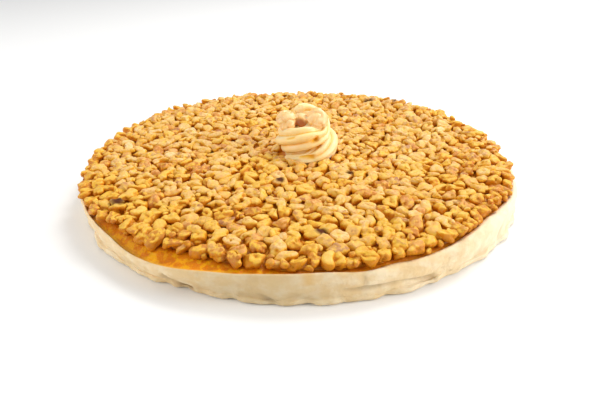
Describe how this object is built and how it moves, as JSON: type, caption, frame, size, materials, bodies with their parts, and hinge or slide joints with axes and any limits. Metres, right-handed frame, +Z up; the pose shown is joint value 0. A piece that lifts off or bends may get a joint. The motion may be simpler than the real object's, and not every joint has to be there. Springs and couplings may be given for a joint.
{
  "type": "honey nut cake",
  "caption": "Round honey nut cake: a pale pastry case with a set honey filling, a heap of glazed nuts over it and a piped cream rosette that holds a walnut half.",
  "frame": {"origin": "on the flat underside, at the middle of the foot", "axes": "+Z up, the front of the cake faces -Y, +X to its right"},
  "size_m": [0.2862, 0.286, 0.052],
  "materials": {
    "pastry": "baked shortcrust, pale, dry and slightly mottled",
    "honey": "set honey filling, amber, moist and softly glossy",
    "nuts": "toasted nuts in a thin honey glaze",
    "cream": "piped caramel-coloured cream, smooth satin",
    "walnut": "walnut kernel, furrowed, with a thin glaze"
  },
  "bodies": {
    "root": {"pastry_case": "pastry", "honey_filling": "honey", "nut_topping": "nuts", "cream_rosette": "cream", "walnut_half": "walnut"}
  },
  "joints": []
}
